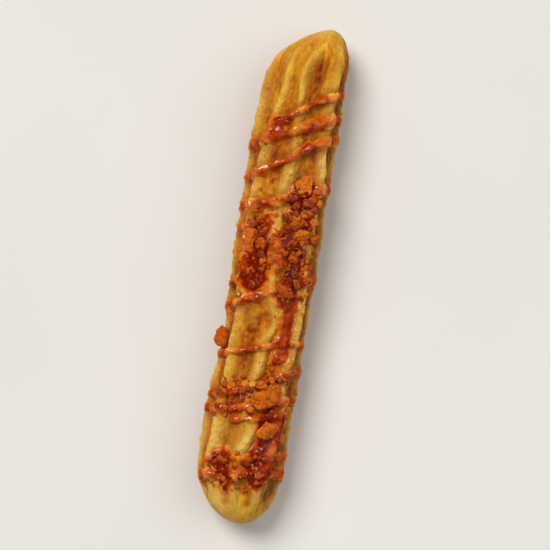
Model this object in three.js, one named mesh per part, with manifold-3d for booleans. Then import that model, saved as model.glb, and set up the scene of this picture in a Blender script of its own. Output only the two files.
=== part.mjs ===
// A piped, fried churro with caramel drizzled over it and biscuit crumbs stuck in the caramel, as one closed solid.
// Millimetres, +Z up. It lies along Y on its flattened underside, which is in the plane z = 0.
// A place on it is its station, the distance from the +Y tip, and its angle round the dough: 0 degrees is the
// +X flank, 90 the top and 180 the -X flank. A place seen from above is its station and its offset along +X.
import * as THREE from "three";
import { mergeVertices } from "three/addons/utils/BufferGeometryUtils.js";
import Module from "manifold-3d";

// Dough
const LENGTH = 146;
const WIDTH = 25;
const PIPED_HEIGHT = 23.4;
const SETTLED = 1.9; // how much of the lowest ridge is pressed flat
const RIDGE_ANGLES = [-131, -90, -49, -8, 37, 97, 141, 186];
const RIDGE_HEIGHT = 2.2;
const RIDGE_SHARPNESS = 2.3; // above 1 the ridges are narrower than the grooves
const PRESSED = 0.6; // how much shallower its weight makes the grooves of the underside
const END_LENGTH = 18; // the stretch over which each end rounds off
const END_BLUNTNESS = { top: 0.62, bottom: 0.5 }; // 0.5 is an ellipse
const END_SHIFT = { top: 5.8, bottom: 1.5 }; // how far each tip lies to the +X side
const RIDGES_FADE = { top: 15, bottom: 12 }; // over this distance from a tip the ridges die away

// Where a ridge swerves: its angle, the station, and how far it goes towards the -X flank, in degrees.
const SWERVES = [
  { ridge: 97, station: 34, spread: 14, turn: -8 },
  { ridge: 97, station: 68, spread: 6, turn: -9 },
  { ridge: 97, station: 86, spread: 5.5, turn: -23 },
  { ridge: 97, station: 99, spread: 6, turn: -11 },
  { ridge: 97, station: 118.5, spread: 4.5, turn: -15 },
  { ridge: 37, station: 90, spread: 7, turn: -5 },
  { ridge: 37, station: 101, spread: 5, turn: 10 },
  { ridge: 37, station: 134, spread: 15, turn: 22 },
  { ridge: 141, station: 62, spread: 12, turn: 4 },
  { ridge: 141, station: 17, spread: 15, turn: -23 },
  { ridge: 186, station: 14, spread: 16, turn: -20 },
];

// Facets
const SIDES_PER_RIDGE = 5;
const RING_STEP = 4;
const END_RINGS = [0.6, 2.3, 5.2, 9.2]; // distances from a tip
const SMALLEST_EDGE = 0.004;

// Caramel. A strand crosses the dough from its station at the +X flank to the one at the -X flank, and shows
// between two angles. It stands proud of the ridges and bridges the grooves.
const STRAND_PROUD = 0.3; // of its width
const STRAND_SAG = 0.45; // how much of each groove it follows
const STRAND_THINNED = 0.65; // how much less it stands proud on the flanks and below
const STRAND_RINGS = [-1, -0.55, 0.55, 1]; // shares of half its width
const STRANDS = [
  { right: 18.4, left: 32.6, from: -42, to: 141, width: 2.8 },
  { right: 26.0, left: 36.2, from: -56, to: 236, width: 3.8 },
  { right: 31.8, left: 45.8, from: -30, to: 226, width: 3.3 },
  { right: 46.6, left: 54.8, from: -55, to: 237, width: 3.8 },
  { right: 54.4, left: 60.8, from: 108, to: 212, width: 2.4 },
  { right: 59.0, left: 77.5, from: 34, to: 222, width: 2.6 },
  { right: 73.0, left: 83.6, from: -50, to: 236, width: 3.0 },
  { right: 91.5, left: 97.3, from: -22, to: 224, width: 2.3 },
  { right: 100.0, left: 110.0, from: -52, to: 214, width: 2.7 },
  { right: 108.6, left: 113.8, from: -34, to: 237, width: 2.9 },
  { right: 112.8, left: 117.6, from: 16, to: 120, width: 2.4 },
  { right: 125.0, left: 129.0, from: -30, to: 150, width: 2.5 },
  { right: 129.5, left: 133.5, from: -55, to: 238, width: 3.8 },
];

// Pools lie along a groove between two places seen from above.
const POOL_FILL = 0.6; // how much of the groove a pool fills
const POOL_PROUD = 0.3;
const POOLS = [
  { station: [29.5, 32.5], offset: [-8, -6.4], width: 5.4 },
  { station: [50, 68], offset: [4.9, 4.6], width: 8.6 },
  { station: [66, 80], offset: [4.6, 5], width: 8 },
  { station: [58, 68], offset: [-5, -5.8], width: 6 },
  { station: [67, 75.5], offset: [-7, -6.6], width: 9.4 },
  { station: [62.5, 71], offset: [-0.8, 1.2], width: 5.5 },
  { station: [80, 96.5], offset: [6.1, 5.7], width: 5.8 },
  { station: [114, 131], offset: [6.4, 4.4], width: 9.5 },
  { station: [129, 133], offset: [-7.6, -5.6], width: 8 },
];

// Crumbs: the large ones one by one, the small ones in drifts.
const CRUMB_SUNK = 0.3; // of its height, below the surface that it sits on
const LARGE_CRUMBS = [
  { station: 46.5, offset: 5.2, size: [5.4, 5.2, 3.4], turn: 20 },
  { station: 64.0, offset: -8.8, size: [3.6, 6.2, 3.2], turn: 8 },
  { station: 60.8, offset: 5.6, size: [4.4, 3.6, 2.6], turn: 15 },
  { station: 77.6, offset: 4.2, size: [5.2, 3.0, 2.8], turn: -25 },
  { station: 92.6, offset: -13.0, size: [4.8, 6.0, 5.0], turn: 20 },
  { station: 109.4, offset: 1.8, size: [8.0, 6.2, 3.8], turn: 14 },
  { station: 105.6, offset: 4.9, size: [4.8, 4.2, 3.2], turn: -30 },
  { station: 105.2, offset: 0.9, size: [3.8, 3.0, 2.6], turn: 20 },
  { station: 117.4, offset: 4.6, size: [6.8, 4.6, 3.4], turn: 32 },
];
const DRIFTS = [
  { station: [50, 66], offset: [0.5, 10], count: 28, size: [1.5, 3.1] },
  { station: [66, 80], offset: [1, 9.5], count: 12, size: [1.4, 2.8] },
  { station: [57, 71], offset: [-10.5, -2.5], count: 8, size: [1.3, 2.6] },
  { station: [99, 105], offset: [3, 9.5], count: 6, size: [1.4, 2.6] },
  { station: [105, 114], offset: [-11, -1], count: 14, size: [1.3, 2.7] },
  { station: [127, 134], offset: [-10.5, 4], count: 14, size: [1.3, 2.5] },
];
const PLACES_SEED = 4908;
const SHAPES_SEED = 77;

const radians = THREE.MathUtils.degToRad;
const bell = (x, centre, spread) => Math.exp(-(((x - centre) / spread) ** 2));
const wave = (x, period, phase) => Math.sin((2 * Math.PI * x) / period + phase);

// --- Dough --------------------------------------------------------------------------------------------------

const CENTRE_HEIGHT = PIPED_HEIGHT / 2 - SETTLED;
const RIDGES = RIDGE_ANGLES.length;
const LOWEST_RIDGE = RIDGE_ANGLES.indexOf(-90);

// The middle of the dough drifts towards -X near its lower end.
function centreOffset(station) {
  const lean = -0.5 * THREE.MathUtils.smoothstep(station, 20, 40);
  const kink = -1.1 * THREE.MathUtils.smoothstep(station, 97, 114);
  const fromTop = Math.max(0, 1 - station / END_LENGTH);
  const fromBottom = Math.max(0, 1 - (LENGTH - station) / END_LENGTH);
  return lean + kink + END_SHIFT.top * fromTop ** 1.7 + END_SHIFT.bottom * fromBottom ** 1.7;
}

// How thick the dough is at a station, as a share of its full thickness.
function girth(station) {
  const waist = 1 - 0.05 * bell(station, 90, 9) - 0.03 * bell(station, 8, 14);
  const swell = 0.04 * bell(station, 9.5, 3.2) + 0.035 * bell(station, 121, 8);
  const round = (distance, bluntness) =>
    distance >= END_LENGTH ? 1 : (1 - (1 - distance / END_LENGTH) ** 2) ** bluntness;
  return (waist + swell) * round(station, END_BLUNTNESS.top) * round(LENGTH - station, END_BLUNTNESS.bottom);
}

// Angles are first counted in ridges: 0 is the first of RIDGE_ANGLES, 1 the next, and so on round to RIDGES.
function angleOf(count, station) {
  const lower = Math.floor(count);
  const start = RIDGE_ANGLES[lower % RIDGES];
  const end = RIDGE_ANGLES[(lower + 1) % RIDGES] + (lower + 1 < RIDGES ? 0 : 360);
  const even = THREE.MathUtils.lerp(start, end, count - lower);
  const swerve = SWERVES.reduce(
    (sum, { ridge, station: at, spread, turn }) => sum + turn * bell(station, at, spread) * bell(even, ridge, 32),
    0,
  );
  const round = (2 * Math.PI * count) / RIDGES;
  const drift = 2.4 * wave(station, 37, round) + 1.6 * wave(station, 17, 2 * round + 1);
  return radians(even + swerve + drift);
}

// The count of ridges at an angle, found by halving.
function countAt(angle, station) {
  let low = 0;
  let high = RIDGES;
  while (high - low > 0.001) {
    const middle = (low + high) / 2;
    if (angleOf(middle, station) < angle) low = middle;
    else high = middle;
  }
  return low;
}

// How deep the groove is below the ridges, for a count of ridges round the dough.
function grooveDepth(count, station) {
  const ridge = ((1 + Math.cos(2 * Math.PI * count)) / 2) ** RIDGE_SHARPNESS;
  const round = (2 * Math.PI * count) / RIDGES;
  const uneven = 1 + 0.16 * wave(station, 31, 3 * round) + 0.1 * wave(station, 13, 2 * round + 2);
  const pressed = 1 - PRESSED * bell(count, LOWEST_RIDGE, 0.9);
  const fade =
    THREE.MathUtils.smoothstep(station, 1, RIDGES_FADE.top) *
    THREE.MathUtils.smoothstep(LENGTH - station, 0, RIDGES_FADE.bottom);
  return RIDGE_HEIGHT * uneven * pressed * fade * (1 - ridge);
}

// --- Caramel ------------------------------------------------------------------------------------------------

// The middle and half the width of a strand where it crosses an angle, and how fully it has formed there.
function strandAt({ right, left, from, to, width }, number, angle) {
  const degrees = THREE.MathUtils.euclideanModulo(THREE.MathUtils.radToDeg(angle) + 90, 360) - 90;
  const share = THREE.MathUtils.clamp((degrees - from) / (to - from), 0, 1);
  const fromEnd = Math.min(degrees - from, to - degrees);
  const formed = THREE.MathUtils.smoothstep(fromEnd, -4, 9);
  const bead = 0.14 * bell(fromEnd, 10, 7);
  const swell = 0.15 * Math.sin(17 * share + number) + 0.12 * Math.sin(39 * share + 2 * number);
  const ripple = 0.35 * Math.sin(9 * share + number);
  return {
    middle: THREE.MathUtils.lerp(right, left, (1 - Math.cos(angle)) / 2) + ripple,
    half: (width / 2) * (0.35 + formed * (0.65 + bead + swell)),
    formed,
  };
}

// How far the caramel stands above the dough at a place, for the depth of the groove there.
function caramelRise(station, angle, depth) {
  const proud = STRAND_PROUD * (1 - STRAND_THINNED * (1 - Math.max(0, Math.sin(angle))));
  const strands = STRANDS.map((strand, number) => {
    const { middle, half, formed } = strandAt(strand, number, angle);
    const across = Math.min(1, Math.abs(station - middle) / half);
    const domed = formed * (1 - across ** 2) ** 0.45;
    return domed * (depth * (1 - STRAND_SAG) + strand.width * proud);
  });
  const pools = POOLS.map(({ station: [first, last], offset, width }) => {
    if (Math.sin(angle) < 0) return 0;
    const share = THREE.MathUtils.clamp((station - first) / (last - first), 0, 1);
    const middle = THREE.MathUtils.lerp(...offset, share);
    const aside = centreOffset(station) + (WIDTH / 2) * Math.cos(angle) - middle;
    const beyond = station - THREE.MathUtils.clamp(station, first, last);
    const near = 1 - Math.min(1, Math.hypot(aside, beyond) / (width / 2));
    return THREE.MathUtils.smoothstep(near, 0, 0.6) * (depth * POOL_FILL + POOL_PROUD);
  });
  return Math.max(...strands, ...pools);
}

// --- Surface ------------------------------------------------------------------------------------------------

// A point of the surface at an angle, lifted outwards. Nothing reaches below the plane z = 0.
function surface(station, angle, depth, lift = 0) {
  const size = girth(station);
  const rise = Math.min(1, size * 1.4) * caramelRise(station, angle, depth) + lift;
  return new THREE.Vector3(
    centreOffset(station) + ((WIDTH / 2 - depth) * size + rise) * Math.cos(angle),
    LENGTH / 2 - station,
    Math.max(0, CENTRE_HEIGHT + ((PIPED_HEIGHT / 2 - depth) * size + rise) * Math.sin(angle)),
  );
}

// The angle on the upper side at an offset seen from above.
function angleAt(station, offset) {
  const across = (offset - centreOffset(station)) / ((WIDTH / 2) * girth(station));
  return Math.acos(THREE.MathUtils.clamp(across, -1, 1));
}

// The rings of the surface, each a rule for its station at an angle. Rings follow the strands' edges, and others
// are spread between those.
function ringRules() {
  const strandRules = STRANDS.flatMap((strand, number) =>
    STRAND_RINGS.map((share) => (angle) => {
      const { middle, half } = strandAt(strand, number, angle);
      return middle + share * half;
    }),
  );
  const rules = [
    ...END_RINGS.map((distance) => () => distance),
    ...strandRules,
    ...END_RINGS.map((distance) => () => LENGTH - distance).reverse(),
  ];
  return rules.flatMap((rule, at) => {
    const next = rules[at + 1];
    if (!next) return [rule];
    const gap = Math.max(next(0) - rule(0), next(Math.PI) - rule(Math.PI));
    const parts = Math.max(1, Math.round(gap / RING_STEP));
    return Array.from(
      { length: parts },
      (_, part) => (angle) => THREE.MathUtils.lerp(rule(angle), next(angle), part / parts),
    );
  });
}

// A closed surface through rings of points, with a tip at each end. Rings run so that the faces point outwards.
function closedRings(rings, firstTip, lastTip) {
  const sides = rings[0].length;
  const points = [firstTip, ...rings.flat(), lastTip];
  const last = points.length - 1;
  const index = [];
  for (let side = 0; side < sides; side++) {
    const next = (side + 1) % sides;
    index.push(0, 1 + side, 1 + next);
    index.push(last, last - sides + next, last - sides + side);
    for (let ring = 0; ring < rings.length - 1; ring++) {
      const here = 1 + ring * sides;
      const there = here + sides;
      index.push(here + side, there + side, there + next);
      index.push(here + side, there + next, here + next);
    }
  }
  const geometry = new THREE.BufferGeometry().setFromPoints(points);
  geometry.setIndex(index);
  return geometry;
}

function coatedDough() {
  const sides = RIDGES * SIDES_PER_RIDGE;
  const rings = ringRules().map((rule) =>
    Array.from({ length: sides }, (_, side) => {
      const count = (sides - 1 - side) / SIDES_PER_RIDGE;
      const nearby = rule(angleOf(count, LENGTH / 2));
      const angle = angleOf(count, nearby);
      const station = rule(angle);
      return surface(station, angle, grooveDepth(count, station));
    }),
  );
  return closedRings(rings, surface(0, 0, 0), surface(LENGTH, 0, 0));
}

// --- Crumbs -------------------------------------------------------------------------------------------------

// Repeatable random numbers from 0 to 1.
function randomFrom(seed) {
  let state = seed;
  return () => {
    state = (state + 0x6d2b79f5) | 0;
    let mixed = Math.imul(state ^ (state >>> 15), 1 | state);
    mixed = (mixed + Math.imul(mixed ^ (mixed >>> 7), 61 | mixed)) ^ mixed;
    return ((mixed ^ (mixed >>> 14)) >>> 0) / 2 ** 32;
  };
}
const between = (random, low, high) => low + (high - low) * random();
const shapes = randomFrom(SHAPES_SEED);

// A rough lump of the given size, before it is put in its place.
function lump(size, detail, roughness) {
  const ball = new THREE.IcosahedronGeometry(0.5, detail);
  ball.deleteAttribute("normal");
  ball.deleteAttribute("uv");
  const merged = mergeVertices(ball);
  const points = merged.getAttribute("position");
  const point = new THREE.Vector3();
  for (let at = 0; at < points.count; at++) {
    point.fromBufferAttribute(points, at).multiplyScalar(1 + roughness * between(shapes, -1, 1));
    points.setXYZ(at, ...point);
  }
  return merged.scale(...size);
}

// Sets a lump on the surface, its own Z pointing outwards.
function crumb({ station, offset, size, turn }, detail, roughness) {
  const angle = angleAt(station, offset);
  const depth = grooveDepth(countAt(angle, station), station);
  const place = new THREE.Object3D();
  place.position.copy(surface(station, angle, depth, size[2] * (0.5 - CRUMB_SUNK)));
  place.rotation.set(0, Math.PI / 2 - angle, 0);
  place.rotateZ(radians(turn));
  place.updateMatrix();
  return lump(size, detail, roughness).applyMatrix4(place.matrix);
}

function largeCrumbs() {
  return LARGE_CRUMBS.map((large) => crumb(large, 1, 0.13));
}

function smallCrumbs() {
  const places = randomFrom(PLACES_SEED);
  return DRIFTS.flatMap(({ station, offset, count, size }) =>
    Array.from({ length: count }, () => {
      const across = between(places, ...size);
      const small = {
        station: between(places, ...station),
        offset: between(places, ...offset),
        size: [across, across * between(places, 0.7, 1.1), across * between(places, 0.6, 0.9)],
        turn: between(places, 0, 360),
      };
      return crumb(small, 0, 0.16);
    }),
  );
}

// --- One solid ----------------------------------------------------------------------------------------------

const wasm = await Module();
wasm.setup();

function solidOf(geometry) {
  return new wasm.Manifold(
    new wasm.Mesh({
      numProp: 3,
      vertProperties: new Float32Array(geometry.getAttribute("position").array),
      triVerts: new Uint32Array(geometry.index.array),
    }),
  );
}

function geometryOf(solid) {
  const { vertProperties, triVerts } = solid.getMesh();
  const geometry = new THREE.BufferGeometry();
  geometry.setAttribute("position", new THREE.BufferAttribute(vertProperties, 3));
  geometry.setIndex(new THREE.BufferAttribute(triVerts, 1));
  return geometry;
}

// The dough and all that sticks to it, joined. Corners that all but meet are made one, and sealed pockets and
// loose scraps are left behind.
function joined(pieces) {
  const whole = pieces.map(solidOf).reduce((sum, piece) => sum.add(piece));
  const bodies = solidOf(mergeVertices(geometryOf(whole), SMALLEST_EDGE)).decompose();
  return bodies.reduce((largest, body) => (body.volume() > largest.volume() ? body : largest));
}

const geometry = geometryOf(joined([coatedDough(), ...largeCrumbs(), ...smallCrumbs()])).toNonIndexed();
geometry.computeVertexNormals();

const churro = new THREE.Mesh(
  geometry,
  new THREE.MeshStandardMaterial({ color: 0xcf9440, roughness: 0.5, metalness: 0 }),
);
churro.name = "churro";

const group = new THREE.Group();
group.add(churro);
export default group;
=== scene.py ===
"""The looks of a fried churro with caramel and biscuit crumbs: dough, caramel, crumb chunks, crumbs and fine crumbs.

Shapes are worked out in millimetres, as in the solid that they replace, and put down in metres. A place on the dough
is its station, the distance from the +Y tip, and its angle: 0 is the +X flank, 90 degrees the top.
"""

import math

import bmesh
import bpy
import numpy as np
from mathutils import Euler, Matrix, Vector, kdtree, noise


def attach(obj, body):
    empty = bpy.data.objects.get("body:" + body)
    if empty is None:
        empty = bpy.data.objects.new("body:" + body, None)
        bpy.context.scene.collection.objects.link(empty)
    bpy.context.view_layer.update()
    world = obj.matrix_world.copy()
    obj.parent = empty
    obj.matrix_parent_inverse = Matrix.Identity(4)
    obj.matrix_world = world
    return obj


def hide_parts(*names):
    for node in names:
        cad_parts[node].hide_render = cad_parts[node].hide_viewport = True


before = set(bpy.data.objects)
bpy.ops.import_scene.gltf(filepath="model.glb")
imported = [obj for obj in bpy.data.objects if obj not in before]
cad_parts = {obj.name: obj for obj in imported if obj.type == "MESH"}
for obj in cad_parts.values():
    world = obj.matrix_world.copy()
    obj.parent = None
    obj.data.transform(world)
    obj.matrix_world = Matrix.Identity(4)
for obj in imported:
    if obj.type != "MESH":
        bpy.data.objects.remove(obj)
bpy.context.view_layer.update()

MM = 0.001

# --- Dimensions, as in the solid ---------------------------------------------------------------------------------

LENGTH = 146.0
WIDTH = 25.0
PIPED_HEIGHT = 23.4
SETTLED = 1.9
RIDGE_ANGLES = [-131, -90, -49, -8, 37, 97, 141, 186]
RIDGE_HEIGHT = 2.2
RIDGE_SHARPNESS = 2.3
PRESSED = 0.6
END_LENGTH = 18.0
BLUNT_TOP, BLUNT_BOTTOM = 0.62, 0.5
SHIFT_TOP, SHIFT_BOTTOM = 5.8, 1.5
FADE_TOP, FADE_BOTTOM = 15, 12

# ridge angle, station, spread, turn
SWERVES = [
    (97, 34, 14, -8),
    (97, 68, 6, -9),
    (97, 86, 5.5, -23),
    (97, 99, 6, -11),
    (97, 118.5, 4.5, -15),
    (37, 90, 7, -5),
    (37, 101, 5, 10),
    (37, 134, 15, 22),
    (141, 62, 12, 4),
    (141, 17, 15, -23),
    (186, 14, 16, -20),
]

STRAND_PROUD = 0.3
STRAND_SAG = 0.45
STRAND_THINNED = 0.65
# station at the right flank, station at the left flank, first angle, last angle, width
STRANDS = [
    (18.4, 32.6, -42, 141, 2.8),
    (26.0, 36.2, -56, 236, 3.8),
    (31.8, 45.8, -30, 226, 3.3),
    (46.6, 54.8, -55, 237, 3.8),
    (54.4, 60.8, 108, 212, 2.4),
    (59.0, 77.5, 34, 222, 2.6),
    (73.0, 83.6, -50, 236, 3.0),
    (91.5, 97.3, -22, 224, 2.3),
    (100.0, 110.0, -52, 214, 2.7),
    (108.6, 113.8, -34, 237, 2.9),
    (112.8, 117.6, 16, 120, 2.4),
    (125.0, 129.0, -30, 150, 2.5),
    (129.5, 133.5, -55, 238, 3.8),
]

POOL_FILL = 0.6
POOL_PROUD = 0.3
# first and last station, first and last offset, width
POOLS = [
    (29.5, 32.5, -8, -6.4, 5.4),
    (50, 68, 4.9, 4.6, 8.6),
    (66, 80, 4.6, 5, 8.0),
    (58, 68, -5, -5.8, 6.0),
    (67, 75.5, -7, -6.6, 9.4),
    (62.5, 71, -0.8, 1.2, 5.5),
    (80, 96.5, 6.1, 5.7, 5.8),
    (114, 131, 6.4, 4.4, 9.5),
    (129, 133, -7.6, -5.6, 8.0),
]

CRUMB_SUNK = 0.3
# station, offset, size along the offset, the station and outwards, turn in degrees
LARGE_CRUMBS = [
    (46.5, 5.2, (5.4, 5.2, 3.4), 20),
    (64.0, -8.8, (3.6, 6.2, 3.2), 8),
    (60.8, 5.6, (4.4, 3.6, 2.6), 15),
    (77.6, 4.2, (5.2, 3.0, 2.8), -25),
    (92.6, -13.0, (4.8, 6.0, 5.0), 20),
    (109.4, 1.8, (8.0, 6.2, 3.8), 14),
    (105.6, 4.9, (4.8, 4.2, 3.2), -30),
    (105.2, 0.9, (3.8, 3.0, 2.6), 20),
    (117.4, 4.6, (6.8, 4.6, 3.4), 32),
]
# station range, offset range, count, size range
DRIFTS = [
    ((50, 66), (0.5, 10), 28, (1.5, 3.1)),
    ((66, 80), (1, 9.5), 12, (1.4, 2.8)),
    ((57, 71), (-10.5, -2.5), 8, (1.3, 2.6)),
    ((99, 105), (3, 9.5), 6, (1.4, 2.6)),
    ((105, 114), (-11, -1), 14, (1.3, 2.7)),
    ((127, 134), (-10.5, 4), 14, (1.3, 2.5)),
]
PLACES_SEED = 4908

CENTRE_HEIGHT = PIPED_HEIGHT / 2 - SETTLED
RIDGES = len(RIDGE_ANGLES)
LOWEST_RIDGE = RIDGE_ANGLES.index(-90)

# --- Form --------------------------------------------------------------------------------------------------------


def smoothstep(x, low, high):
    t = np.clip((x - low) / (high - low), 0, 1)
    return t * t * (3 - 2 * t)


def bell(x, centre, spread):
    return np.exp(-(((x - centre) / spread) ** 2))


def wave(x, period, phase):
    return np.sin(2 * math.pi * x / period + phase)


def centre_offset(station):
    lean = -0.5 * smoothstep(station, 20, 40)
    kink = -1.1 * smoothstep(station, 97, 114)
    from_top = np.maximum(0, 1 - station / END_LENGTH)
    from_bottom = np.maximum(0, 1 - (LENGTH - station) / END_LENGTH)
    return lean + kink + SHIFT_TOP * from_top**1.7 + SHIFT_BOTTOM * from_bottom**1.7


def girth(station):
    """The share of the full width and height at a station."""
    waist = 1 - 0.05 * bell(station, 90, 9) - 0.03 * bell(station, 8, 14)
    swell = 0.04 * bell(station, 9.5, 3.2) + 0.035 * bell(station, 121, 8)
    top = np.clip(1 - (1 - np.minimum(1, station / END_LENGTH)) ** 2, 0, 1) ** BLUNT_TOP
    bottom = np.clip(1 - (1 - np.minimum(1, (LENGTH - station) / END_LENGTH)) ** 2, 0, 1) ** BLUNT_BOTTOM
    return (waist + swell) * top * bottom


def angle_of(count, station):
    """The angle for a count of ridges round the dough, from 0 at the first of RIDGE_ANGLES."""
    even = np.interp(count, np.arange(RIDGES + 1), [*RIDGE_ANGLES, RIDGE_ANGLES[0] + 360])
    swerve = sum(turn * bell(station, at, spread) * bell(even, ridge, 32) for ridge, at, spread, turn in SWERVES)
    turned = 2 * math.pi * count / RIDGES
    drift = 2.4 * wave(station, 37, turned) + 1.6 * wave(station, 17, 2 * turned + 1)
    return np.radians(even + swerve + drift)


def count_at(angle, station):
    """The count of ridges at an angle, found by halving."""
    low, high = 0.0, float(RIDGES)
    while high - low > 0.001:
        middle = (low + high) / 2
        if angle_of(middle, station) < angle:
            low = middle
        else:
            high = middle
    return low


def ridge_share(count):
    """1 on the crest of a ridge, falling to 0 in the grooves."""
    return ((1 + np.cos(2 * math.pi * count)) / 2) ** RIDGE_SHARPNESS


def ridges_formed(station):
    return smoothstep(station, 1, FADE_TOP) * smoothstep(LENGTH - station, 0, FADE_BOTTOM)


def groove_depth(count, station):
    turned = 2 * math.pi * count / RIDGES
    uneven = 1 + 0.16 * wave(station, 31, 3 * turned) + 0.1 * wave(station, 13, 2 * turned + 2)
    pressed = 1 - PRESSED * bell(count, LOWEST_RIDGE, 0.9)
    return RIDGE_HEIGHT * uneven * pressed * ridges_formed(station) * (1 - ridge_share(count))


def strand_at(number, angle):
    """The middle and half width of a strand where it crosses an angle, and how fully it has formed there."""
    right, left, first, last, width = STRANDS[number]
    degrees = (np.degrees(angle) + 90) % 360 - 90
    share = np.clip((degrees - first) / (last - first), 0, 1)
    from_end = np.minimum(degrees - first, last - degrees)
    formed = smoothstep(from_end, -4, 9)
    bead = 0.14 * bell(from_end, 10, 7)
    swell = 0.15 * np.sin(17 * share + number) + 0.12 * np.sin(39 * share + 2 * number)
    ripple = 0.35 * np.sin(9 * share + number)
    middle = right + (left - right) * (1 - np.cos(angle)) / 2 + ripple
    half = width / 2 * (0.35 + formed * (0.65 + bead + swell))
    return middle, half, formed


def strand_peak(width, depth, angle):
    """How far the middle of a strand stands above the dough."""
    proud = STRAND_PROUD * (1 - STRAND_THINNED * (1 - np.maximum(0, np.sin(angle))))
    return depth * (1 - STRAND_SAG) + width * proud


def pool_nearness(number, station, angle):
    """1 on the middle line of a pool and 0 at its edge, below 0 beyond it."""
    first, last, first_offset, last_offset, width = POOLS[number]
    share = np.clip((station - first) / (last - first), 0, 1)
    middle = first_offset + (last_offset - first_offset) * share
    aside = centre_offset(station) + WIDTH / 2 * np.cos(angle) - middle
    beyond = station - np.clip(station, first, last)
    near = 1 - np.hypot(aside, beyond) / (width / 2)
    return np.where(np.sin(angle) < 0, -3, near)


def points_at(station, angle, depth, rise):
    """Points of the surface in millimetres, an array of N by 3."""
    size = girth(station)
    x = centre_offset(station) + ((WIDTH / 2 - depth) * size + rise) * np.cos(angle)
    z = CENTRE_HEIGHT + ((PIPED_HEIGHT / 2 - depth) * size + rise) * np.sin(angle)
    return np.stack([x, LENGTH / 2 - station, np.maximum(0, z)], axis=-1)


class Grid:
    """A grid of places over the dough, one row for each station and each row all the way round."""

    def __init__(self, stations, around):
        self.stations = stations
        self.counts = np.arange(around) / around * RIDGES
        self.station, count = np.meshgrid(stations, self.counts, indexing="ij")
        self.angle = angle_of(count, self.station)
        self.degrees = np.degrees(self.angle)
        self.upward = np.sin(self.angle)
        self.depth = groove_depth(count, self.station)
        self.crest = ridge_share(count) * ridges_formed(self.station)
        self.smooth = self.raised(0)

    def raised(self, rise):
        return points_at(self.station, self.angle, self.depth, rise)


# --- Noise -------------------------------------------------------------------------------------------------------


def fractal(points, scale, octaves, shift=(0, 0, 0)):
    """Smooth noise of about -1 to 1 at each point, its largest lumps about scale millimetres wide."""
    moved = points / np.asarray(scale, float) + np.asarray(shift, float)
    values = [noise.fractal(p, 1.0, 2.0, octaves) for p in moved.reshape(-1, 3)]
    return np.array(values).reshape(moved.shape[:-1])


def cell_distance(points, scale, shift):
    """The distance to the nearest of a scatter of points about scale millimetres apart, in that unit."""
    moved = points / scale + shift
    values = [noise.voronoi(p)[0][0] for p in moved.reshape(-1, 3)]
    return np.array(values).reshape(moved.shape[:-1])


# --- Meshes ------------------------------------------------------------------------------------------------------


def mesh_piece(name, points, faces, attributes):
    """A smooth-shaded mesh piece from points in millimetres that stands for the solid churro."""
    mesh = bpy.data.meshes.new(name)
    mesh.from_pydata((np.asarray(points) * MM).tolist(), [], faces)
    mesh.polygons.foreach_set("use_smooth", [True] * len(mesh.polygons))
    for key, values in attributes.items():
        layer = mesh.attributes.new(key, "FLOAT", "POINT")
        layer.data.foreach_set("value", np.asarray(values, dtype=np.float32).ravel())
    mesh.update()
    piece = bpy.data.objects.new(name, mesh)
    bpy.context.collection.objects.link(piece)
    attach(piece, "root")
    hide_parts("churro")
    return piece


def end_spaced(middle_step, end_steps):
    """Stations from just past the first tip to just before the last, closer together towards the tips."""
    ends = END_LENGTH * (1 - np.cos(np.linspace(0, math.pi / 2, end_steps + 1)[1:]))
    count = int(round((LENGTH - 2 * END_LENGTH) / middle_step))
    middle = np.linspace(END_LENGTH, LENGTH - END_LENGTH, count + 1)[1:-1]
    return np.concatenate([ends, middle, LENGTH - ends[::-1]])


def tube_faces(rows, columns):
    """The faces of a closed tube whose points are one tip, the rows in order, and the other tip."""
    last = rows * columns + 1
    faces = []
    for row in range(rows - 1):
        here, there = 1 + row * columns, 1 + (row + 1) * columns
        for column in range(columns):
            after = (column + 1) % columns
            faces.append((here + column, here + after, there + after, there + column))
    for column in range(columns):
        after = (column + 1) % columns
        faces.append((0, 1 + after, 1 + column))
        faces.append((last, last - columns + column, last - columns + after))
    return faces


def shell_faces(kept):
    """The outer side, inner side and rim of a closed shell over the kept quads of a grid that goes all round."""
    quad_rows, columns = kept.shape
    total = (quad_rows + 1) * columns
    quads, rim = [], {}
    for row, column in np.argwhere(kept).tolist():
        after = (column + 1) % columns
        here, there = row * columns, (row + 1) * columns
        corners = (here + column, here + after, there + after, there + column)
        quads.append(corners)
        for start, end in zip(corners, corners[1:] + corners[:1]):
            if (end, start) in rim:
                del rim[(end, start)]
            else:
                rim[(start, end)] = True
    faces = list(quads)
    faces += [tuple(corner + total for corner in reversed(quad)) for quad in quads]
    faces += [(end, start, start + total, end + total) for start, end in rim]
    return faces


def drop_loose_points(piece):
    tool = bmesh.new()
    tool.from_mesh(piece.data)
    bmesh.ops.delete(tool, geom=[v for v in tool.verts if not v.link_faces], context="VERTS")
    tool.to_mesh(piece.data)
    tool.free()


# --- Dough -------------------------------------------------------------------------------------------------------

DOUGH_AROUND = 304
DOUGH_STEP = 0.44
DOUGH_END_STEPS = 34
CRUST_SUNK = 0.08  # keeps the raised crust near the solid's own size
SMOOTH_TIP = 6.0  # the relief fades out over this length towards each tip

# how far each kind of relief raises the crust where it is 1, in millimetres
LUMPS = 0.3
GRAIN = 0.26
FINE_GRAIN = 0.2
PITS = -1.7
BLISTERS = 1.0
RAGGED_CRESTS = 0.4
# spacing in millimetres, radius as a share of it, and a shift that sets the two kinds apart
PIT_SPOTS = (2.4, 0.34, 0.0)
BLISTER_SPOTS = (1.5, 0.42, 7.0)

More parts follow.
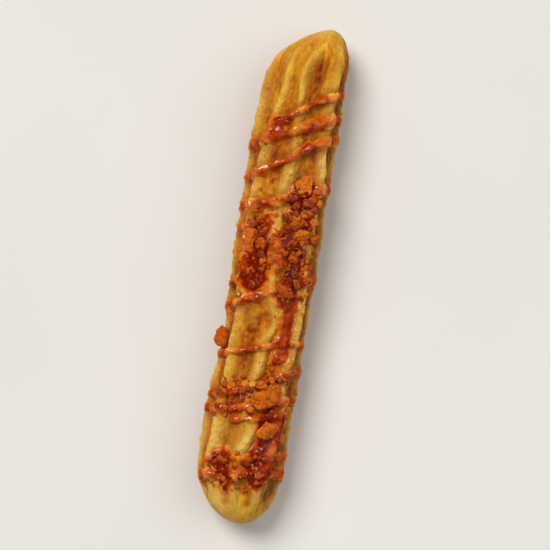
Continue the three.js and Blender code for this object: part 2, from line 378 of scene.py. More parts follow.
# Colours of the crust: how much browner or paler each cause makes it, some of them painted shade and painted light. 0
# is pale dough and 1 the darkest crust.
STREAKS_BROWNED = 0.26
# painted shade in the grooves
GROOVE_SHADE = 0.34
BLOTCHES_BROWNED = 0.34
PITS_BROWNED = 0.9
BLISTERS_BROWNED = -0.3
UNDERSIDE_BROWNED = 0.2
# the lower tip is painted paler, as painted light: amount, station, spread
LOWER_TIP_LIGHT, LOWER_TIP_STATION, LOWER_TIP_SPREAD = -0.26, 141, 7
# between these stations blotches set in, blotches weaken and the painted shade in the grooves grows full
BLOTCHES_START, BLOTCHES_WEAKEN, GROOVE_SHADE_START = (15, 33), (94, 100), (20, 36)
# amount, station, spread, angle in degrees, spread
BROWNED_AND_SHADED_PLACES = [
    (0.5, 14.5, 6.5, 69, 11),
    (0.14, 20, 8, 140, 25),
    (0.26, 38, 3.5, 132, 22),
    (0.2, 87.3, 2.6, 112, 14),
    (0.15, 98, 12, 125, 28),
    # painted shade beside the painted highlight line on the crest near station 122
    (0.22, 121, 6, 122, 18),
    (0.3, 137, 4, 70, 6),
]
# the right flank and the lower end are darkest: fried brown, deepened with painted shade
FLANK_BROWNED_AND_SHADE, FLANK_ANGLE, FLANK_SPREAD = 0.46, 7, 22
LOWER_END_BROWNED_AND_SHADE = (0.6, 134, 11, 14, 28)

# the same for cream and painted light, which are full at 1; the places at the left rim near the upper end and at the
# lower end's left side are painted light
CREAM_AND_LIT_PLACES = [
    (0.75, 12, 15, 178, 15),
    (0.55, 135.5, 4, 57, 7),
    (1.2, 140.5, 5.5, 142, 30),
    (0.35, 142, 3, 93, 12),
]
# a painted highlight on every crest
CREST_HIGHLIGHT_ALL = 0.28
# amount, station, spread, a painted highlight on all crests
CREST_HIGHLIGHT_BANDS = [(0.35, 43, 10), (0.3, 98, 7), (0.8, 124, 8)]
# amount, station, spread, angle, spread, a painted highlight on the crests there
RIDGE_HIGHLIGHTS = [(0.5, 37, 9, 37, 16), (0.5, 92, 14, 37, 16)]
# a painted highlight line along one crest, laid out as above
CREST_HIGHLIGHT_LINE = (0.5, 122.5, 5, 97, 12)
CREAM_BAND = (0.06, 123, 6)
# painted light on the upper side of the upper tip
TIP_LIGHT, TIP_LIGHT_SPREAD = 0.55, 3.2

# amount, station, spread
OLIVE_PLACES = [(0.7, 121, 8), (0.35, 140, 7)]

# how far the dough is stained: in full to this share of a strand's half width, fading to this far beyond it
STAIN_FULL, STAIN_REACH = 0.8, 2.8


def at_places(grid, places):
    """The sum of soft spots, each (amount, station, spread, angle in degrees, spread)."""
    return sum(
        amount * bell(grid.station, at, spread) * bell(grid.degrees, angle, angle_spread)
        for amount, at, spread, angle, angle_spread in places
    )


def at_stations(grid, places):
    """The sum of soft bands round the dough, each (amount, station, spread)."""
    return sum(amount * bell(grid.station, at, spread) for amount, at, spread in places)


def round_spots(points, spacing, radius, shift, patches):
    """Pits or blisters, highest in their middles and 0 between them, only where patches is above 0."""
    return np.maximum(0, radius - cell_distance(points, spacing, shift)) * np.maximum(0, patches)


def crust_relief(grid, pits, blisters):
    """How far the crust stands above or below plain dough, in millimetres."""
    relief = LUMPS * fractal(grid.smooth, 7.0, 2)
    relief += GRAIN * fractal(grid.smooth, (1.3, 4.5, 1.3), 3, (5, 0, 9))
    relief += FINE_GRAIN * fractal(grid.smooth, 0.9, 2, (1, 7, 3))
    relief += PITS * pits + BLISTERS * blisters
    relief += RAGGED_CRESTS * grid.crest * fractal(grid.smooth, (1.8, 2.3, 1.8), 4, (8, 2, 6))
    return relief * np.minimum(1, np.minimum(grid.station, LENGTH - grid.station) / SMOOTH_TIP)


def caramel_stain(grid):
    """1 where caramel covers the dough, fading to 0 a little beyond its edge."""
    stain_and_shade = np.zeros_like(grid.station)
    for number in range(len(STRANDS)):
        middle, half, formed = strand_at(number, grid.angle)
        beyond = smoothstep(np.abs(grid.station - middle), half * STAIN_FULL, half + STAIN_REACH)
        stain_and_shade = np.maximum(stain_and_shade, formed * (1 - beyond))
    for number in range(len(POOLS)):
        stain_and_shade = np.maximum(stain_and_shade, smoothstep(pool_nearness(number, grid.station, grid.angle), -0.35, 0.1))
    return stain_and_shade


def browning_light_and_shade(grid, mottle, speckle, streaks, pits, blisters):
    """How brown the crust is fried, about 0 to 1, with painted shade in the grooves, on the right flank and beside a
    crest line, and painted light on the lower tip.
    """
    blotched = BLOTCHES_BROWNED * (0.65 + 0.35 * smoothstep(grid.station, *BLOTCHES_START))
    blotched = blotched * (1 - 0.35 * smoothstep(grid.station, *BLOTCHES_WEAKEN))
    # painted shade: darker in the grooves than on the crests
    grooves = ridges_formed(grid.station) - grid.crest
    grooves = grooves * (0.45 + 0.55 * smoothstep(grid.station, *GROOVE_SHADE_START))
    browned_light_and_shade = STREAKS_BROWNED * streaks + GROOVE_SHADE * grooves + blotched * (mottle + speckle)
    browned_light_and_shade += PITS_BROWNED * pits + BLISTERS_BROWNED * blisters + at_places(grid, BROWNED_AND_SHADED_PLACES)
    # uneven painted shade and browning on the right flank and the lower end
    flank_patchiness = np.clip(0.85 + 0.7 * streaks + 0.6 * mottle, 0.4, 1.2)
    browned_light_and_shade += FLANK_BROWNED_AND_SHADE * bell(grid.degrees, FLANK_ANGLE, FLANK_SPREAD) * flank_patchiness
    browned_light_and_shade += at_places(grid, [LOWER_END_BROWNED_AND_SHADE]) * flank_patchiness
    browned_light_and_shade += UNDERSIDE_BROWNED * (1 - smoothstep(grid.upward, -0.2, 0.5))
    # painted light on the lower tip, with some mottling and streaks
    at_tip = bell(grid.station, LOWER_TIP_STATION, LOWER_TIP_SPREAD)
    browned_light_and_shade += (LOWER_TIP_LIGHT + 0.5 * mottle + 0.15 * streaks) * at_tip
    return browned_light_and_shade


def creaminess_and_light(grid, speckle):
    """1 where the crust is palest, by a few crests and the tips, and 0 elsewhere: pale crust, with painted highlights
    on crests and painted light on lit rims and tips.
    """
    on_crests = CREST_HIGHLIGHT_ALL + at_stations(grid, CREST_HIGHLIGHT_BANDS)
    cream_and_light = grid.crest * (on_crests + at_places(grid, RIDGE_HIGHLIGHTS))
    cream_and_light += grid.crest**2 * at_places(grid, [CREST_HIGHLIGHT_LINE]) + at_places(grid, CREAM_AND_LIT_PLACES)
    cream_and_light += at_stations(grid, [CREAM_BAND])
    cream_and_light += TIP_LIGHT * bell(grid.station, 0, TIP_LIGHT_SPREAD) * smoothstep(grid.upward, -0.2, 0.3)
    return np.clip(cream_and_light * (0.8 + 0.8 * speckle), 0, 1)


def olive_tint(grid, browned_light_and_shade):
    """1 where lightly fried dough on the upper side turns olive yellow, and 0 elsewhere."""
    olive = 0.55 * smoothstep(fractal(grid.smooth, (6.0, 12.0, 6.0), 2, (12, 5, 3)), -0.15, 0.35)
    olive += at_stations(grid, OLIVE_PLACES)
    upper = 0.2 + 0.8 * smoothstep(grid.upward, 0, 0.5)
    return np.minimum(1, olive) * upper * (1 - 0.8 * smoothstep(browned_light_and_shade, 0.45, 0.8))


def with_tips(values):
    """The values of a grid's points with those of the two tips before and after them."""
    return np.concatenate([[values[0].mean()], values.ravel(), [values[-1].mean()]])


def make_dough(grid, relief, pits, blisters):
    mottle = fractal(grid.smooth, (5.0, 9.0, 5.0), 3, (2, 9, 1))
    speckle = fractal(grid.smooth, 1.6, 3, (6, 1, 5))
    streaks = fractal(grid.smooth, (1.3, 9.0, 1.3), 3, (3, 3, 8))
    browned_light_and_shade = browning_light_and_shade(grid, mottle, speckle, streaks, pits, blisters)
    looks = {
        "crest": grid.crest,
        "cream_and_light": creaminess_and_light(grid, speckle),
        "browned_light_and_shade": browned_light_and_shade,
        "olive": olive_tint(grid, browned_light_and_shade),
        "stain_and_shade": caramel_stain(grid) * (0.85 + 0.7 * mottle),
    }
    upper_tip, lower_tip = points_at(0, 0, 0, 0), points_at(LENGTH, 0, 0, 0)
    sides = grid.raised(relief - CRUST_SUNK).reshape(-1, 3)
    points = np.concatenate([upper_tip[None], sides, lower_tip[None]])
    faces = tube_faces(*grid.station.shape)
    return mesh_piece("dough", points, faces, {key: with_tips(value) for key, value in looks.items()})


dough_grid = Grid(end_spaced(DOUGH_STEP, DOUGH_END_STEPS), DOUGH_AROUND)
pits = round_spots(dough_grid.smooth, *PIT_SPOTS, fractal(dough_grid.smooth, 9.0, 1, (4, 4, 4)) + 0.25)
blisters = round_spots(dough_grid.smooth, *BLISTER_SPOTS, fractal(dough_grid.smooth, 6.0, 2, (1, 8, 4)) + 0.15)
dough_relief = crust_relief(dough_grid, pits, blisters)
dough = make_dough(dough_grid, dough_relief, pits, blisters)

# --- Caramel -----------------------------------------------------------------------------------------------------

CARAMEL_AROUND = 336
CARAMEL_STEP = 0.295
CARAMEL_FROM, CARAMEL_TO = 14, 140
UNDER = 0.35  # the edges lie this far below the dough, and the inner side twice as far
FULL_TO_GIRTH = 1.4  # caramel thins with the dough where its girth is under 1 / 1.4
NODULE_DEGREES = 19  # strands swell into nodules about this far apart
NODULE_SWELL = 0.2
STRAND_WANDER = 0.4  # how far a strand strays from its line, in millimetres
STRAND_WOBBLE, POOL_WOBBLE = 0.3, 0.45  # how uneven their edges are
STRAND_DOME = 2.6  # 2 is a round back, more is a flatter one
LUMPINESS = 0.26
FULL_HEIGHT = 0.5  # caramel this high carries its lumps and ripples in full
RIPPLED_STATION = 89  # the pool there is thin and rippled crosswise
RIPPLE_HEIGHT, RIPPLE_LENGTH = 0.07, 2.1
# how much darker each cause makes the caramel; on the flanks it is painted shade, and over the crests, where it is
# thinner, it is painted paler as a highlight
HEIGHT_DARKENS, DARKEST_HEIGHT = 0.21, 1.3
FLANK_SHADE, CREST_THINNING_AND_HIGHLIGHT = 0.04, -0.19
# over a ridge in the lower pool the caramel is painted paler as a highlight, and made glossier
HIGHLIGHT_SPOT = (1, 124.5, 2.4, 48, 9)
HIGHLIGHT_SPOT_TONE, HIGHLIGHT_SPOT_GLOSS = -0.34, 0.6


def caramel_form(grid):
    """How far the caramel stands above the dough, and 1 in the middle of pools to 0 beyond them."""
    wobble = fractal(grid.smooth, 2.6, 2, (3, 3, 3))
    wide_wobble = fractal(grid.smooth, 5.0, 3, (7, 2, 8))
    lumpy = fractal(grid.smooth, 1.7, 2, (9, 4, 2))
    height = np.full_like(grid.station, -1.0)
    pooled = np.zeros_like(grid.station)
    for number, (*_, width) in enumerate(STRANDS):
        middle, half, formed = strand_at(number, grid.angle)
        uneven = 1.7 * number + 1.3 * np.sin(grid.degrees / 31)
        nodule = np.sin(2 * math.pi * grid.degrees / NODULE_DEGREES + uneven)
        nodule = nodule * (0.15 + 0.6 * smoothstep(grid.upward, 0, 0.7))
        across = np.abs(grid.station - middle - STRAND_WANDER * wide_wobble) / (half * (1 + NODULE_SWELL * nodule))
        across = across * (1 + STRAND_WOBBLE * wobble)
        peak = strand_peak(width, grid.depth, grid.angle) * (1 + NODULE_SWELL * nodule)
        domed = formed * peak * (1 - np.minimum(across, 1.5) ** STRAND_DOME) - (1 - formed) * UNDER
        height = np.maximum(height, domed)
    for number, (*_, width) in enumerate(POOLS):
        near = pool_nearness(number, grid.station, grid.angle) + POOL_WOBBLE * wide_wobble
        pooled = np.maximum(pooled, smoothstep(near, 0, 0.5) * min(1, width / 9))
        peak = grid.depth * POOL_FILL + POOL_PROUD
        height = np.maximum(height, peak * (smoothstep(near, 0, 0.6) + np.minimum(0, near) * 2))
    rippled = smoothstep(height, 0, FULL_HEIGHT) * bell(grid.station, RIPPLED_STATION, 6)
    height += RIPPLE_HEIGHT * wave(grid.station, RIPPLE_LENGTH, 0.8 * wobble) * rippled
    return np.maximum(height + LUMPINESS * lumpy * smoothstep(height, 0, FULL_HEIGHT), -UNDER), pooled


def caramel_looks(grid, height, pooled):
    """How much the caramel's thickness darkens it, with painted shade on the flanks and painted highlights over the
    crests, and how glossy it is.
    """
    off_ripples = smoothstep(np.abs(grid.station - RIPPLED_STATION), 7, 10)
    thick_light_and_shade = HEIGHT_DARKENS * np.minimum(height, DARKEST_HEIGHT) + pooled * (0.1 + 0.16 * off_ripples)
    thick_light_and_shade += FLANK_SHADE * (1 - smoothstep(grid.upward, 0, 0.5)) + CREST_THINNING_AND_HIGHLIGHT * grid.crest * (1 - pooled)
    dulled = 0.7 + 0.22 * bell(grid.station, 72, 9) * smoothstep(grid.degrees, 95, 105)
    gloss = 1 - np.minimum(1, 1.5 * pooled) * dulled
    gloss *= 0.3 + 0.7 * smoothstep(grid.upward, 0.1, 0.7)
    highlight_spot = at_places(grid, [HIGHLIGHT_SPOT])
    return {"thick_light_and_shade": thick_light_and_shade + HIGHLIGHT_SPOT_TONE * highlight_spot, "gloss": np.minimum(1, gloss + HIGHLIGHT_SPOT_GLOSS * highlight_spot)}


def relief_over(grid):
    """The crust's relief at the places of another grid."""
    along = np.array([np.interp(grid.stations, dough_grid.stations, column) for column in dough_relief.T])
    return np.array([np.interp(grid.counts, dough_grid.counts, row, period=RIDGES) for row in along.T])


def make_caramel(grid):
    height, pooled = caramel_form(grid)
    crust = relief_over(grid)
    followed = crust * (1 - 0.75 * smoothstep(height, 0.1, 0.9))
    outer = grid.raised(followed + height * np.minimum(1, girth(grid.station) * FULL_TO_GIRTH))
    inner = grid.raised(crust - 2 * UNDER)
    shown = height > -UNDER * 0.999
    kept = shown[:-1] & shown[1:]
    kept = kept | np.roll(kept, -1, axis=1)
    looks = caramel_looks(grid, height, pooled)
    piece = mesh_piece(
        "caramel",
        np.concatenate([outer.reshape(-1, 3), inner.reshape(-1, 3)]),
        shell_faces(kept),
        {key: np.tile(value.ravel(), 2) for key, value in looks.items()},
    )
    drop_loose_points(piece)
    return piece


caramel = make_caramel(Grid(np.arange(CARAMEL_FROM, CARAMEL_TO, CARAMEL_STEP), CARAMEL_AROUND))

# --- Crumbs ------------------------------------------------------------------------------------------------------

CHUNK_TONES = [0.72, 0.55, 0.7, 0.2, 0.4, 0.52, 0.55, 0.5, 0.6]  # from dark to pale, one for each large crumb
GLAZED_SHARES = [0.55, 0.85, 0.5, 0.6, 0.4, 0.9]  # how many crumbs of each drift are coated in caramel
# how often each ball's faces are split, and how many flat sides break it
CHUNK_DETAIL, CRUMB_DETAIL, GLAZED_DETAIL, FINE_DETAIL = 6, 5, 4, 3
CRUMB_BREAKS, FINE_BREAKS = 10, 6


def random_from(seed):
    """The repeatable random numbers that place the crumbs, from 0 to 1."""
    mask = 0xFFFFFFFF
    state = seed
    while True:
        state = (state + 0x6D2B79F5) & mask
        mixed = ((state ^ (state >> 15)) * (1 | state)) & mask
        mixed = ((mixed + (((mixed ^ (mixed >> 7)) * (61 | mixed)) & mask)) & mask) ^ mixed
        yield ((mixed ^ (mixed >> 14)) & mask) / 2**32


def angle_at(station, offset):
    across = (offset - centre_offset(station)) / (WIDTH / 2 * girth(station))
    return np.arccos(np.clip(across, -1, 1))


def coated_rise(station, angle, depth):
    """How far the caramel stands above the dough at one place."""
    best = 0.0
    for number, (*_, width) in enumerate(STRANDS):
        middle, half, formed = strand_at(number, angle)
        across = min(1, abs(station - middle) / half)
        best = max(best, formed * (1 - across**2.8) * strand_peak(width, depth, angle))
    for number in range(len(POOLS)):
        near = float(pool_nearness(number, station, angle))
        best = max(best, float(smoothstep(near, 0, 0.6)) * (depth * POOL_FILL + POOL_PROUD))
    return best


def seat(station, offset, lift, turn):
    """The matrix, in millimetres, that puts a crumb on the surface with its own Z pointing outwards."""
    angle = float(angle_at(station, offset))
    depth = float(groove_depth(count_at(angle, station), station))
    place = points_at(station, angle, depth, coated_rise(station, angle, depth) + lift)
    turned = Euler((0, math.pi / 2 - angle, 0)).to_matrix() @ Euler((0, 0, math.radians(turn))).to_matrix()
    return Matrix.Translation(Vector(place)) @ turned.to_4x4()


def ball(subdivisions):
    tool = bmesh.new()
    bmesh.ops.create_icosphere(tool, subdivisions=subdivisions, radius=0.5)
    points = np.array([v.co[:] for v in tool.verts])
    faces = np.array([[v.index for v in f.verts] for f in tool.faces])
    tool.free()
    return points, faces


def craggy(points, size, shift, breaks):
    """A broken, porous crumb from a ball, and how dark each point of it is painted, about 0 to 1: painted shade as
    deep as it lies in a hollow, less on its grains, more on the foot that stands in caramel.
    """
    ways = points * 2
    sides = np.random.default_rng(int(abs(shift[0]) * 1000)).normal(size=(breaks, 3))
    sides /= np.linalg.norm(sides, axis=1)[:, None]
    reach = 0.58 + 0.38 * (np.arange(breaks) * 0.618 % 1)
    broken = np.minimum(np.min(reach / np.maximum(ways @ sides.T, 0.2), axis=1), 1.12)
    form = fractal(ways * 0.9 + shift, 1.0, 2)
    shaped = points * (broken * (1.1 + 0.2 * form))[:, None] * np.asarray(size)
    scale = max(0.7, 0.3 * max(size))
    crevice = np.maximum(0, 1 - np.abs(fractal(shaped + shift, scale, 2)) * 5)
    holes = np.maximum(0, 0.5 - cell_distance(shaped, 0.75 * scale, shift[1])) * 2
    grains = 0.5 - cell_distance(shaped, 0.5, shift[2])
    fine_grain = fractal(shaped, 0.35, 2, shift)
    small = min(1, 0.3 * min(size))
    hollow = 0.75 * crevice**1.5 + 0.8 * holes**1.5
    proud = small * (-0.42 * hollow + 0.2 * grains + 0.09 * fine_grain)
    soaked = 0.9 * (1 - smoothstep(points[:, 2], -0.3, -0.02))  # the foot that stands in caramel
    return shaped + ways * proud[:, None], np.clip(hollow - 0.5 * grains + soaked, 0, 1)


def crumb_piece(name, crumbs, subdivisions, breaks=CRUMB_BREAKS):
    """One mesh of many crumbs, each (matrix, size, shift, tone)."""
    points, faces = ball(subdivisions)
    all_points, all_faces, tones, shades_and_soaks = [], [], [], []
    for matrix, size, shift, tone in crumbs:
        shaped, hollow = craggy(points, size, shift, breaks)
        turned = shaped @ np.array(matrix.to_3x3()).T + np.array(matrix.translation)
        turned[:, 2] = np.maximum(turned[:, 2], 0)
        all_faces.append(faces + len(points) * len(all_points))
        all_points.append(turned)
        tones.append(np.full(len(points), tone))
        shades_and_soaks.append(hollow)
    return mesh_piece(
        name,
        np.concatenate(all_points),
        np.concatenate(all_faces).tolist(),
        {"tone": np.concatenate(tones), "hollow": np.concatenate(shades_and_soaks)},
    )


looks_random = np.random.default_rng(11)
places_random = random_from(PLACES_SEED)


def noise_shift():
    return looks_random.uniform(-50, 50, 3)


def between(low, high):
    return low + (high - low) * next(places_random)


def sunk(height):
    """How high the middle of a crumb lies above what it is pressed into."""
    return height * (0.5 - CRUMB_SUNK)


chunks = [
    (seat(at, offset, sunk(size[2]), turn), size, noise_shift(), tone)
    for (at, offset, size, turn), tone in zip(LARGE_CRUMBS, CHUNK_TONES)
]
crumb_chunks = crumb_piece("crumb_chunks", chunks, CHUNK_DETAIL)

plain, glazed = [], []
for (station_range, offset_range, number, sizes), glazed_share in zip(DRIFTS, GLAZED_SHARES):
    for _ in range(number):
        across = between(*sizes)
        at = between(*station_range)
        offset = between(*offset_range)
        size = (across, across * between(0.7, 1.1), across * between(0.6, 0.9))
        matrix = seat(at, offset, sunk(size[2]), between(0, 360))
        kind = glazed if looks_random.uniform() < glazed_share else plain
        kind.append((matrix, size, noise_shift(), looks_random.uniform(0, 1)))
crumbs = crumb_piece("crumbs", plain, CRUMB_DETAIL)
glazed_crumbs = crumb_piece("glazed_crumbs", glazed, GLAZED_DETAIL)


def shade_near_crumbs(piece, key, amount, reach):
    """Raises an attribute of a piece where it lies within reach, in millimetres, of a crumb: painted shade round the
    crumbs, partly the caramel that gathers against them.
    """
    placed = chunks + plain + glazed
    tree = kdtree.KDTree(len(placed))
    for number, (matrix, _, _, _) in enumerate(placed):
        tree.insert(matrix.translation, number)
    tree.balance()
    mesh = piece.data
    layer = mesh.attributes[key].data
    values = np.zeros(len(mesh.vertices), dtype=np.float32)
    layer.foreach_get("value", values)
    for number, vertex in enumerate(mesh.vertices):
        _, nearest, distance = tree.find(vertex.co / MM)
        size = placed[nearest][1]
        gap = distance - (size[0] + size[1]) / 4
        if gap < reach:
            values[number] += amount * (1 - max(0, gap) / reach)
    layer.foreach_set("value", values)


# painted shade round the crumbs, in the caramel and on the dough
shade_near_crumbs(caramel, "thick_light_and_shade", amount=0.26, reach=0.9)
shade_near_crumbs(dough, "stain_and_shade", amount=0.5, reach=0.8)

# --- Fine crumbs -------------------------------------------------------------------------------------------------

FINE_COUNT = 600
FINE_STATIONS, FINE_ANGLES = (16, 138), (12, 168)
FINE_LIFT = 0.2  # how high the middle of one lies, as a share of its height
ASTRAY_ALONG, ASTRAY_ACROSS = 2, 1  # how far fine crumbs spread round a drift
# how likely a fine crumb is to stay where it falls: anywhere, and added on caramel and in a drift
STRAY_CHANCE, STUCK_CHANCE, DRIFT_CHANCE = 0.015, 0.12, 0.5
STICKY_RISE = 0.3  # caramel at least this thick holds crumbs and darkens them


def in_a_drift(station, offset):
    return any(
        first - ASTRAY_ALONG < station < last + ASTRAY_ALONG and left - ASTRAY_ACROSS < offset < right + ASTRAY_ACROSS
        for (first, last), (left, right), _, _ in DRIFTS
    )


def scattered_crumbs():
    """Fine crumbs dropped at random, those kept that fall on caramel or in a drift and a few others."""
    crumbs = []
    while len(crumbs) < FINE_COUNT:
        at = looks_random.uniform(*FINE_STATIONS)
        angle = math.radians(looks_random.uniform(*FINE_ANGLES))
        offset = float(centre_offset(at) + WIDTH / 2 * girth(at) * math.cos(angle))
        stuck = coated_rise(at, angle, RIDGE_HEIGHT / 2) > STICKY_RISE
        chance = STRAY_CHANCE + (STUCK_CHANCE if stuck else 0) + (DRIFT_CHANCE if in_a_drift(at, offset) else 0)
        if looks_random.uniform() > chance:
            continue
        across = looks_random.uniform(0.3, 1.0) ** 1.5 * 1.35 + 0.15
        size = (across, across * looks_random.uniform(0.5, 1.1), across * looks_random.uniform(0.45, 0.9))
        matrix = seat(at, offset, size[2] * FINE_LIFT, looks_random.uniform(0, 360))
        crumbs.append((matrix, size, noise_shift(), looks_random.uniform(0, 0.5 if stuck else 0.95)))
    return crumbs


fine_crumbs = crumb_piece("fine_crumbs", scattered_crumbs(), FINE_DETAIL, FINE_BREAKS)

# --- Materials ---------------------------------------------------------------------------------------------------


def srgb(red, green, blue):
    """A colour as seen on a screen, 0 to 255, in the linear values that shaders take."""

    def linear(value):
        share = value / 255
        return share / 12.92 if share <= 0.04045 else ((share + 0.055) / 1.055) ** 2.4

    return linear(red), linear(green), linear(blue)


def greys(low_at, low, high_at, high):
    """The stops of a ramp between two greys."""
    return [(low_at, (low, low, low)), (high_at, (high, high, high))]


class Look:
    """A material being made. Its methods add nodes and return their outputs."""

    def __init__(self, name):
        self.material = bpy.data.materials.new(name)
        self.material.use_nodes = True
        self.nodes = self.material.node_tree.nodes
        self.links = self.material.node_tree.links
        self.shader = self.nodes["Principled BSDF"]
        self.place = self.nodes.new("ShaderNodeTexCoord").outputs["Object"]

    def set(self, values):
        """Sets sockets of the shader to numbers or links them to outputs."""
        for name, value in values.items():
            self.feed(self.shader.inputs[name], value)

    def feed(self, socket, value):
        if isinstance(value, bpy.types.NodeSocket):
            self.links.new(value, socket)
        elif socket.type == "RGBA":
            socket.default_value = (*value, 1)
        else:
            socket.default_value = value

    def attribute(self, name):
        node = self.nodes.new("ShaderNodeAttribute")
        node.attribute_name = name
        return node.outputs["Fac"]

    def noise(self, scale, detail, roughness):
        """Noise of 0 to 1, with scale lumps to the metre."""
        node = self.nodes.new("ShaderNodeTexNoise")
        self.feed(node.inputs["Vector"], self.place)
        node.inputs["Scale"].default_value = scale
        node.inputs["Detail"].default_value = detail
        node.inputs["Roughness"].default_value = roughness
        return node.outputs["Fac"]

    def spots(self, scale):
        node = self.nodes.new("ShaderNodeTexVoronoi")
        self.feed(node.inputs["Vector"], self.place)
        node.inputs["Scale"].default_value = scale
        return node.outputs["Distance"]

    def combine(self, operation, first, second):
        node = self.nodes.new("ShaderNodeMath")
        node.operation = operation
        self.feed(node.inputs[0], first)
        self.feed(node.inputs[1], second)
        return node.outputs[0]

    def plus(self, first, second):
        return self.combine("ADD", first, second)

    def times(self, first, second):
        return self.combine("MULTIPLY", first, second)

    def ramp(self, factor, stops):
        node = self.nodes.new("ShaderNodeValToRGB")
        elements = node.color_ramp.elements
        while len(elements) < len(stops):
            elements.new(0.5)
        for element, (at, colour) in zip(elements, stops):
            element.position = at
            element.color = (*colour, 1)
        self.feed(node.inputs["Fac"], factor)
        return node.outputs["Color"]

    def mix(self, factor, first, second):
        node = self.nodes.new("ShaderNodeMix")
        node.data_type = "RGBA"
        self.feed(node.inputs["Factor"], factor)
        self.feed(node.inputs["A"], first)
        self.feed(node.inputs["B"], second)
        return node.outputs["Result"]

    def bump(self, height, strength, distance, normal=None):
        node = self.nodes.new("ShaderNodeBump")
        node.inputs["Strength"].default_value = strength
        node.inputs["Distance"].default_value = distance
        self.feed(node.inputs["Height"], height)
        if normal is not None:
            self.feed(node.inputs["Normal"], normal)
        return node.outputs["Normal"]


CRUST_RAMP = [
    (0.05, srgb(246, 190, 60)),
    (0.32, srgb(220, 148, 26)),
    (0.58, srgb(195, 109, 9)),
    (0.82, srgb(166, 74, 4)),
    (1.0, srgb(122, 44, 1)),
]
# how fully each of these takes over from the crust's own colour, and the colour
OLIVE_SHARE, OLIVE = 0.65, srgb(204, 152, 42)
# a painted highlight along the ridge crests
PAINTED_CREST_HIGHLIGHT_SHARE, PAINTED_CREST_HIGHLIGHT = 1.1, srgb(242, 186, 68)
CREAM_AND_LIGHT_SHARE, CREAM_AND_LIGHT = 0.7, srgb(248, 208, 116)
# caramel-soaked dough, also used for painted shade round the crumbs
SOAKED_AND_SHADED_SHARE, SOAKED_AND_SHADED = 0.75, srgb(164, 82, 16)
PORE_SHARE, PORES = 0.55, srgb(150, 82, 12)
DARK_SPECK_SHARE, DARK_SPECKS = 0.45, srgb(150, 76, 12)
LIGHT_SPECK_SHARE, LIGHT_SPECKS = 0.4, srgb(238, 184, 66)

CARAMEL_RAMP = [
    # the palest stop is reached mostly by the painted highlights over the crests
    (0.2, srgb(242, 174, 70)),
    (0.42, srgb(218, 128, 24)),
    (0.62, srgb(204, 98, 13)),
    (0.82, srgb(172, 54, 2)),
    (1.0, srgb(118, 26, 0)),
]

CRUMB_RAMP = [
    (0.15, srgb(124, 40, 1)),
    (0.42, srgb(192, 84, 2)),
    (0.66, srgb(220, 110, 5)),
    (0.92, srgb(238, 154, 36)),
]
# painted shade in the crumbs' crevices and holes, and the foot soaked in caramel
SHADE_AND_SOAK_SHARE, CRUMB_SHADE_AND_SOAK = 0.6, srgb(96, 30, 1)
GLAZED_RAMP = [(0.15, srgb(96, 24, 1)), (0.5, srgb(156, 54, 3)), (0.9, srgb(204, 92, 8))]

SPECK_RAMP = greys(0.56, 0, 0.72, 1)
LIGHT_SPECK_RAMP = greys(0.25, 1, 0.4, 0)
PORE_RAMP = greys(0.42, 0, 0.62, 1)
CRUST_ROUGHNESS = greys(0.35, 0.42, 0.65, 0.62)
CARAMEL_COAT = greys(0.38, 0.06, 0.58, 0.28)
FLOOR_RAMP = [(0.3, (0.80, 0.79, 0.77)), (0.7, (0.84, 0.83, 0.81))]


def dough_look():
    look = Look("dough")
    blotch = look.noise(170, 3, 0.5)
    fried_light_and_shade = look.plus(look.attribute("browned_light_and_shade"), look.times(look.noise(900, 5, 0.6), 0.3))
    crust = look.ramp(look.plus(fried_light_and_shade, look.times(blotch, 0.25)), CRUST_RAMP)
    crust = look.mix(look.times(look.attribute("olive"), OLIVE_SHARE), crust, OLIVE)
    # painted highlight along the crests, in patches
    patchy_highlight = look.times(look.noise(260, 3, 0.6), PAINTED_CREST_HIGHLIGHT_SHARE)
    crust = look.mix(look.times(look.combine("POWER", look.attribute("crest"), 2.0), patchy_highlight), crust, PAINTED_CREST_HIGHLIGHT)
    # pale crust, with painted highlights and painted light
    crust = look.mix(look.times(look.attribute("cream_and_light"), CREAM_AND_LIGHT_SHARE), crust, CREAM_AND_LIGHT)
    # caramel stain, with painted shade round the crumbs
    crust = look.mix(look.times(look.attribute("stain_and_shade"), SOAKED_AND_SHADED_SHARE), crust, SOAKED_AND_SHADED)
    pore = look.ramp(look.plus(look.spots(1100), look.times(look.noise(420, 4, 0.6), 0.9)), PORE_RAMP)
    crust = look.mix(look.combine("SUBTRACT", PORE_SHARE, look.times(pore, PORE_SHARE)), crust, PORES)
    dark = look.ramp(look.noise(1500, 4, 0.65), SPECK_RAMP)
    crust = look.mix(look.times(dark, DARK_SPECK_SHARE), crust, DARK_SPECKS)
    light = look.ramp(look.noise(1300, 4, 0.65), LIGHT_SPECK_RAMP)
    crust = look.mix(look.times(light, LIGHT_SPECK_SHARE), crust, LIGHT_SPECKS)
    crackled = look.bump(look.noise(1000, 5, 0.7), 0.8, 0.0007)
    pored = look.bump(pore, 0.7, 0.0004, crackled)
    look.set(
        {
            "Base Color": crust,
            "Roughness": look.ramp(blotch, CRUST_ROUGHNESS),
            "Specular IOR Level": 0.1,
            "Subsurface Weight": 0.12,
            "Subsurface Radius": (1.0, 0.45, 0.15),
            "Subsurface Scale": 0.0015,
            "Normal": look.bump(look.noise(3200, 3, 0.6), 0.5, 0.0002, pored),
        }
    )
    return look.material


